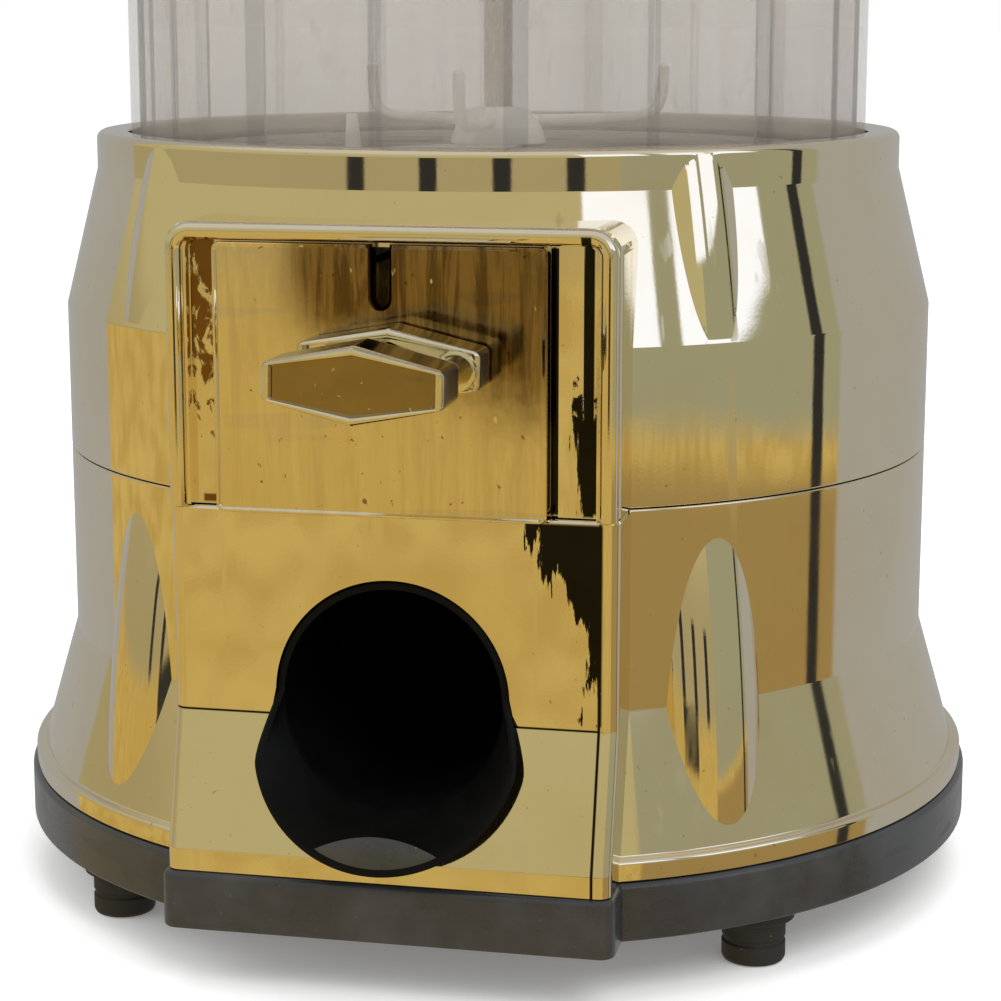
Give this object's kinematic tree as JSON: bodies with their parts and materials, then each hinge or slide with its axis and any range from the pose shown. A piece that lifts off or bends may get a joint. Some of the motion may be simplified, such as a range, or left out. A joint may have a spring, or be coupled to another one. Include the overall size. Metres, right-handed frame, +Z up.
{
  "type": "gumball machine",
  "caption": "Coin-operated gumball machine: round mirror-plated base with turning handle and chute, under a clear ribbed tube with a domed lid.",
  "frame": {"origin": "middle of the footprint, on the surface that the feet stand on", "axes": "+Z up the tube, the coin panel faces -Y, +X is on the right when facing the panel"},
  "size_m": [0.335, 0.379, 0.706],
  "materials": {
    "plated_shell": "mirror plated, pale gold",
    "polished_metal": "polished and scratched",
    "black_plastic": "semi-gloss moulded",
    "rubber": "matt",
    "steel": "zinc plated",
    "brass": "machined",
    "grey_plastic": "satin moulded",
    "white_plastic": "satin moulded",
    "clear_plastic": "clear, faintly ribbed"
  },
  "bodies": {
    "base": {"lower_shell": "plated_shell", "upper_shell": "plated_shell", "coin_plate": "polished_metal", "base_skirt": "black_plastic", "chute_scoop": "black_plastic", "drop_tube": "black_plastic", "coin_tray": "black_plastic", "foot_front_left": "rubber", "foot_front_right": "rubber", "foot_rear_left": "rubber", "foot_rear_right": "rubber", "tube_gasket_bottom": "rubber", "tube_gasket_top": "rubber", "foot_screw_front_left": "steel", "foot_screw_front_right": "steel", "foot_screw_rear_left": "steel", "foot_screw_rear_right": "steel", "foot_nut_front_left": "steel", "foot_nut_front_right": "steel", "foot_nut_rear_left": "steel", "foot_nut_rear_right": "steel", "mech_housing": "steel", "mech_back_plate": "steel", "pawl_pin": "steel", "idler_pin": "steel", "gear_bracket": "steel", "coin_guide": "steel", "centre_rod": "steel", "rod_washer_bottom": "steel", "rod_nut_bottom": "steel", "rod_washer_pan": "steel", "rod_nut_pan": "steel", "lock_cup": "steel", "bracket_post_left": "brass", "bracket_post_right": "brass", "wheel_bush": "brass", "hopper_pan": "grey_plastic", "drop_guard": "white_plastic", "clear_tube": "clear_plastic"},
    "coin_drive": {"handle": "polished_metal", "handle_shaft": "steel", "coin_carrier": "brass", "ratchet_wheel": "steel", "drive_gear": "black_plastic", "shaft_nut": "steel"},
    "idler": {"idler_gear": "brass"},
    "wheel": {"dispensing_wheel": "grey_plastic", "crown_gear": "grey_plastic", "stirrer": "white_plastic"},
    "pawl_arm": {"pawl": "steel"},
    "lid_body": {"lid": "plated_shell"},
    "lock": {"lock_barrel": "steel", "lock_cam": "steel"}
  },
  "joints": [
    {"name": "handle_turn", "type": "hinge", "parent": "base", "child": "coin_drive", "pos_m": [0.0038, -0.135, 0.1963], "axis": [0, 1, 0], "continuous": true},
    {"name": "idler_turn", "type": "hinge", "parent": "base", "child": "idler", "pos_m": [0.0038, -0.068, 0.2218], "axis": [0, 1, 0], "continuous": true},
    {"name": "wheel_turn", "type": "hinge", "parent": "base", "child": "wheel", "pos_m": [0, 0.022, 0.24], "axis": [0, 0, 1], "continuous": true},
    {"name": "pawl_lift", "type": "hinge", "parent": "base", "child": "pawl_arm", "pos_m": [0.0358, -0.097, 0.2183], "axis": [0, 1, 0], "range_deg": [-12, 0], "stiffness_Nm_per_rad": 0.02, "springref_deg": 11.46},
    {"name": "lid_lift", "type": "slide", "parent": "base", "child": "lid_body", "axis": [0, 0, 1], "range_m": [0, 0.06]},
    {"name": "lock_turn", "type": "hinge", "parent": "lid_body", "child": "lock", "pos_m": [0, 0.022, 0.69], "axis": [0, 0, 1], "range_deg": [0, 90]}
  ],
  "couplings": [
    {"joint": "idler_turn", "follows": "handle_turn", "ratio": -1.4286},
    {"joint": "wheel_turn", "follows": "handle_turn", "ratio": -0.16667}
  ]
}
